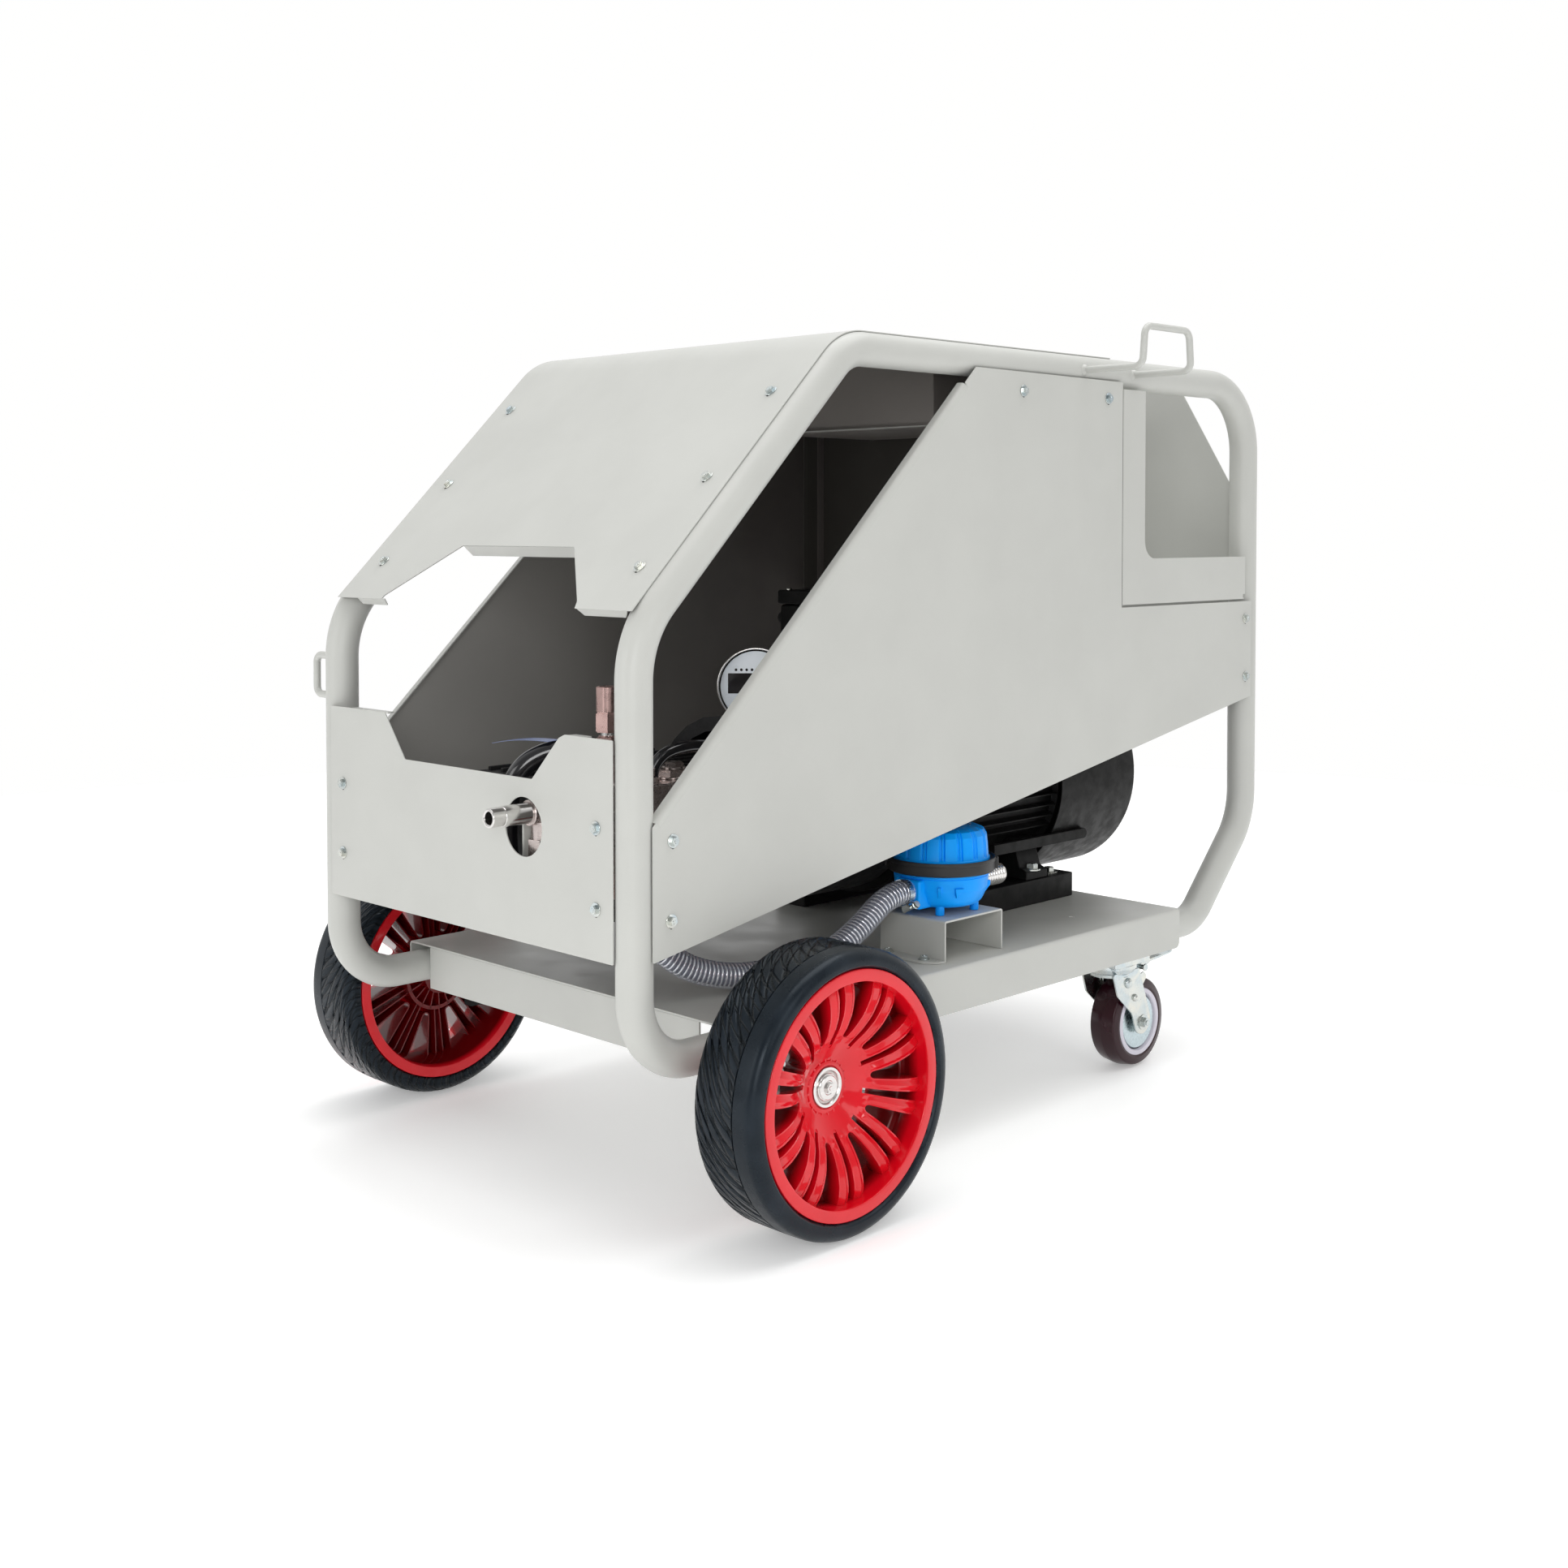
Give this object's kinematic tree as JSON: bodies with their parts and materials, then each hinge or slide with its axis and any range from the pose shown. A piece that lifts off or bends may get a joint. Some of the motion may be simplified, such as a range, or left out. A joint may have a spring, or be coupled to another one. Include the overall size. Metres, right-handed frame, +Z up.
{
  "type": "wheeled electric high-pressure washer",
  "caption": "Electric high-pressure water pump unit in a tube frame with sheet panels, an open storage bin, large front wheels and braked swivel casters.",
  "frame": {"origin": "middle of the footprint, on the floor", "axes": "+X towards the water filter side, -Y towards the outlet and the large wheels, +Y towards the storage bin and the casters, +Z up"},
  "size_m": [1, 1.523, 1.2204],
  "materials": {
    "powder_coat": "satin powder coat",
    "black_paint": "satin paint",
    "pump_casting": "black painted casting",
    "zinc": "bright zinc plate",
    "steel": "machined",
    "brass": "machined",
    "blue_plastic": "moulded",
    "red_plastic": "gloss moulded",
    "tyre": "solid rubber tread",
    "black_rubber": "matt",
    "clear_hose": "clear flexible hose with a steel helix",
    "caster_tread": "polyurethane tread"
  },
  "bodies": {
    "chassis": {"axle": "zinc", "axle_bracket_left": "powder_coat", "axle_bracket_right": "powder_coat", "base_tray": "powder_coat", "bell_housing": "black_paint", "bin_bulkhead": "powder_coat", "bin_floor": "powder_coat", "bin_side_left": "powder_coat", "bin_side_right": "powder_coat", "bypass_hose": "black_rubber", "cable_gland": "black_rubber", "cable_hook": "powder_coat", "caster_crossmember": "black_paint", "caster_plate_left": "zinc", "caster_plate_right": "zinc", "control_box": "powder_coat", "fan_cowl": "black_paint", "filter_bowl": "blue_plastic", "filter_bracket": "powder_coat", "filter_clamp_ring": "black_rubber", "filter_element": "steel", "filter_inlet_fitting": "steel", "frame_loop_left": "powder_coat", "frame_loop_right": "powder_coat", "front_lower_panel": "powder_coat", "gauge_case": "zinc", "gauge_hose": "black_rubber", "hood_panel": "powder_coat", "hose_clamp_filter": "zinc", "hose_hook": "powder_coat", "inlet_manifold": "brass", "motor_body": "black_paint", "motor_rail_left": "black_paint", "motor_rail_right": "black_paint", "outlet_elbow": "steel", "outlet_nipple": "steel", "pump_crankcase": "pump_casting", "pump_head": "steel", "rear_panel": "powder_coat", "relief_valve_body": "brass", "side_panel_left": "powder_coat", "side_panel_right": "powder_coat", "suction_hose": "clear_hose", "terminal_box": "black_paint"},
    "rotor": {"motor_shaft": "steel", "cooling_fan": "black_paint"},
    "wheel_right": {"tyre_right": "tyre", "rim_right": "red_plastic", "wheel_bearing_right": "zinc"},
    "wheel_left": {"tyre_left": "tyre", "rim_left": "red_plastic", "wheel_bearing_left": "zinc"},
    "caster_right": {"caster_fork_right": "zinc"},
    "caster_left": {"caster_fork_left": "zinc"},
    "caster_wheel_right": {"caster_wheel_right": "caster_tread"},
    "caster_wheel_left": {"caster_wheel_left": "caster_tread"},
    "brake_right": {"brake_pedal_right": "zinc"},
    "brake_left": {"brake_pedal_left": "zinc"},
    "filter_cap": {"filter_cap": "blue_plastic"},
    "relief_knob": {"relief_valve_knob": "brass"}
  },
  "joints": [
    {"name": "rotor_spin", "type": "hinge", "parent": "chassis", "child": "rotor", "pos_m": [0, 0.2145, 0.466], "axis": [0, 1, 0], "continuous": true},
    {"name": "wheel_right_roll", "type": "hinge", "parent": "chassis", "child": "wheel_right", "pos_m": [0.4435, -0.4585, 0.186], "axis": [1, 0, 0], "continuous": true},
    {"name": "caster_right_swivel", "type": "hinge", "parent": "chassis", "child": "caster_right", "pos_m": [0.294, 0.3895, 0.184], "axis": [0, 0, 1], "continuous": true},
    {"name": "caster_right_roll", "type": "hinge", "parent": "caster_right", "child": "caster_wheel_right", "pos_m": [0.294, 0.4405, 0.076], "axis": [1, 0, 0], "continuous": true},
    {"name": "brake_right_press", "type": "hinge", "parent": "caster_right", "child": "brake_right", "pos_m": [0.294, 0.4445, 0.168], "axis": [1, 0, 0], "range_deg": [-12, 0]},
    {"name": "wheel_left_roll", "type": "hinge", "parent": "chassis", "child": "wheel_left", "pos_m": [-0.4435, -0.4585, 0.186], "axis": [1, 0, 0], "continuous": true},
    {"name": "caster_left_swivel", "type": "hinge", "parent": "chassis", "child": "caster_left", "pos_m": [-0.294, 0.3895, 0.184], "axis": [0, 0, 1], "continuous": true},
    {"name": "caster_left_roll", "type": "hinge", "parent": "caster_left", "child": "caster_wheel_left", "pos_m": [-0.294, 0.4405, 0.076], "axis": [1, 0, 0], "continuous": true},
    {"name": "brake_left_press", "type": "hinge", "parent": "caster_left", "child": "brake_left", "pos_m": [-0.294, 0.4445, 0.168], "axis": [1, 0, 0], "range_deg": [-12, 0]},
    {"name": "filter_cap_turn", "type": "hinge", "parent": "chassis", "child": "filter_cap", "pos_m": [0.268, -0.0165, 0.4003], "axis": [0, 0, 1], "range_deg": [0, 90]},
    {"name": "relief_knob_turn", "type": "hinge", "parent": "chassis", "child": "relief_knob", "pos_m": [0.108, -0.5385, 0.656], "axis": [0, 0, 1], "range_deg": [-180, 180]}
  ]
}
